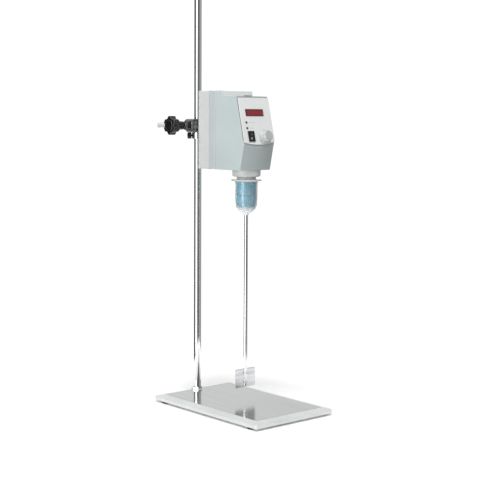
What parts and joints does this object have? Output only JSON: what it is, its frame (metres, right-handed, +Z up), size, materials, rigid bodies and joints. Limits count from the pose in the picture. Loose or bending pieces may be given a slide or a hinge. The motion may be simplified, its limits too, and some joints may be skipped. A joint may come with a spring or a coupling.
{
  "type": "overhead stirrer",
  "caption": "Overhead laboratory stirrer head with tilted control panel, keyless chuck, guard and paddle shaft, clamped to a plate stand.",
  "frame": {"origin": "centre of the base plate on the plane its rubber feet stand on", "axes": "+Z up along the stand rod, +X to the object's right seen from the front, +Y to the rear; the control panel faces -Y"},
  "size_m": [0.21, 0.478, 1.016],
  "materials": {
    "plate_grey": "satin grey enamel",
    "polished_sheet": "fine brushed, softly reflecting",
    "black_rubber": "matte",
    "fastener_steel": "zinc plated",
    "rod_steel": "polished",
    "brass": "turned",
    "black_cast": "black powder coat",
    "black_plastic": "fine grained",
    "shell_grey": "fine textured paint, green grey",
    "shell_light": "fine textured paint, light grey",
    "panel_white": "printed panel film, semi gloss",
    "window_red": "tinted acrylic, glossy",
    "led_dark": "clear epoxy, unlit",
    "board_green": "solder mask",
    "knob_grey": "satin",
    "bright_steel": "ground and polished",
    "motor_grey": "plain",
    "copper_winding": "lacquered wire and laminations",
    "fuse_glass": "clear",
    "chuck_blue": "coloured housing under the guard",
    "guard_clear": "translucent"
  },
  "bodies": {
    "stand": {"base_plate": "plate_grey", "plate_cover": "polished_sheet", "rubber_feet": "black_rubber", "foot_screws": "fastener_steel", "rod_lock_nut": "fastener_steel", "stand_rod": "rod_steel"},
    "collar": {"stop_collar": "rod_steel"},
    "collar_tip": {"collar_screw_tip": "brass"},
    "collar_thumb": {"collar_thumbscrew": "black_plastic"},
    "boss": {"boss_head": "black_cast"},
    "rod_pad": {"rod_clamp_pad": "brass"},
    "rod_knob": {"rod_clamp_knob": "black_plastic", "rod_clamp_screw": "rod_steel"},
    "arm_pad": {"arm_clamp_pad": "brass"},
    "arm_knob": {"arm_clamp_knob": "black_plastic", "arm_clamp_screw": "rod_steel"},
    "head": {"front_shell": "shell_grey", "rear_shell": "shell_light", "rear_cover": "shell_light", "housing_screws": "fastener_steel", "support_rod": "rod_steel", "socket_screws": "fastener_steel", "control_panel": "panel_white", "display_window": "window_red", "status_leds": "led_dark", "control_board": "board_green", "switch_housing": "black_plastic", "speed_pot": "motor_grey", "mains_inlet": "black_plastic", "inlet_pins": "brass", "power_board": "board_green", "power_transformer": "copper_winding", "spindle_nose": "shell_grey", "spindle_bearings": "bright_steel", "motor_bracket": "motor_grey", "motor_can": "motor_grey", "motor_end_cap": "motor_grey", "motor_magnets": "bright_steel", "speed_sensor": "black_plastic"},
    "rocker": {"power_rocker": "black_plastic"},
    "speed_dial": {"speed_knob": "knob_grey", "pot_shaft": "bright_steel"},
    "drawer": {"fuse_drawer": "black_plastic", "fuse": "fuse_glass"},
    "rotor": {"motor_armature": "bright_steel", "motor_pinion": "bright_steel"},
    "spindle_set": {"spindle": "bright_steel", "spindle_gear": "bright_steel", "encoder_disc": "bright_steel", "chuck_body": "bright_steel", "chuck_collar": "chuck_blue"},
    "sleeve": {"chuck_sleeve": "chuck_blue", "jaw_nut": "bright_steel"},
    "jaw_a": {"jaw_1": "bright_steel"},
    "jaw_b": {"jaw_2": "bright_steel"},
    "jaw_c": {"jaw_3": "bright_steel"},
    "stirrer": {"stirrer_shaft": "bright_steel", "paddle_blade": "bright_steel", "blade_screws": "fastener_steel"},
    "guard": {"chuck_guard": "guard_clear"}
  },
  "joints": [
    {"name": "collar_height", "type": "slide", "parent": "stand", "child": "collar", "axis": [0, 0, 1], "range_m": [-0.02, 0.39]},
    {"name": "collar_tip_feed", "type": "slide", "parent": "collar", "child": "collar_tip", "axis": [-0.7547, 0.6561, 0], "range_m": [0, 0.0008]},
    {"name": "collar_thumb_turn", "type": "hinge", "parent": "collar_tip", "child": "collar_thumb", "pos_m": [0, 0.149, 0.5706], "axis": [-0.7547, 0.6561, 0], "range_deg": [0, 360]},
    {"name": "boss_swivel", "type": "hinge", "parent": "collar", "child": "boss", "pos_m": [0, 0.149, 0.592], "axis": [0, 0, 1], "range_deg": [-120, 180]},
    {"name": "rod_pad_feed", "type": "slide", "parent": "boss", "child": "rod_pad", "axis": [-1, 0, 0], "range_m": [0, 0.0025]},
    {"name": "rod_knob_turn", "type": "hinge", "parent": "rod_pad", "child": "rod_knob", "pos_m": [-0.06, 0.149, 0.592], "axis": [-1, 0, 0], "range_deg": [0, 720]},
    {"name": "arm_pad_feed", "type": "slide", "parent": "boss", "child": "arm_pad", "axis": [1, 0, 0], "range_m": [0, 0.0025]},
    {"name": "arm_knob_turn", "type": "hinge", "parent": "arm_pad", "child": "arm_knob", "pos_m": [0.07, 0.149, 0.592], "axis": [1, 0, 0], "range_deg": [0, 720]},
    {"name": "head_reach", "type": "slide", "parent": "boss", "child": "head", "axis": [0, -1, 0], "range_m": [0, 0.14]},
    {"name": "power_rocker_tilt", "type": "hinge", "parent": "head", "child": "rocker", "pos_m": [-0.0007, -0.02584, 0.57079], "axis": [1, 0, 0], "range_deg": [-22, 0]},
    {"name": "speed_knob_turn", "type": "hinge", "parent": "head", "child": "speed_dial", "pos_m": [0.035, -0.02712, 0.56976], "axis": [0, -0.9714, 0.2375], "range_deg": [-150, 150]},
    {"name": "fuse_drawer_slide", "type": "slide", "parent": "head", "child": "drawer", "axis": [0, 1, 0], "range_m": [0, 0.015]},
    {"name": "spindle_spin", "type": "hinge", "parent": "head", "child": "spindle_set", "pos_m": [0.02, 0.012, 0.52], "axis": [0, 0, 1], "continuous": true},
    {"name": "motor_spin", "type": "hinge", "parent": "head", "child": "rotor", "pos_m": [0.02, 0.052, 0.6], "axis": [0, 0, 1], "continuous": true},
    {"name": "sleeve_turn", "type": "hinge", "parent": "spindle_set", "child": "sleeve", "pos_m": [0.02, 0.012, 0.44], "axis": [0, 0, 1], "range_deg": [0, 540]},
    {"name": "jaw_a_feed", "type": "slide", "parent": "spindle_set", "child": "jaw_a", "axis": [0.2241, 0.1294, 0.9659], "range_m": [0, 0.00386]},
    {"name": "jaw_b_feed", "type": "slide", "parent": "spindle_set", "child": "jaw_b", "axis": [-0.2241, 0.1294, 0.9659], "range_m": [0, 0.00386]},
    {"name": "jaw_c_feed", "type": "slide", "parent": "spindle_set", "child": "jaw_c", "axis": [0, -0.2588, 0.9659], "range_m": [0, 0.00386]},
    {"name": "shaft_height", "type": "slide", "parent": "spindle_set", "child": "stirrer", "axis": [0, 0, 1], "range_m": [-0.02, 0.06]},
    {"name": "guard_drop", "type": "slide", "parent": "head", "child": "guard", "axis": [0, 0, -1], "range_m": [0, 0.06]}
  ],
  "couplings": [
    {"joint": "collar_thumb_turn", "follows": "collar_tip_feed", "rad_per_m": 7853.9},
    {"joint": "rod_knob_turn", "follows": "rod_pad_feed", "rad_per_m": 5026.5},
    {"joint": "arm_knob_turn", "follows": "arm_pad_feed", "rad_per_m": 5026.5},
    {"joint": "motor_spin", "follows": "spindle_spin", "ratio": -3},
    {"joint": "sleeve_turn", "follows": "jaw_a_feed", "rad_per_m": 2441.7},
    {"joint": "jaw_b_feed", "follows": "jaw_a_feed", "ratio": 1},
    {"joint": "jaw_c_feed", "follows": "jaw_a_feed", "ratio": 1}
  ]
}
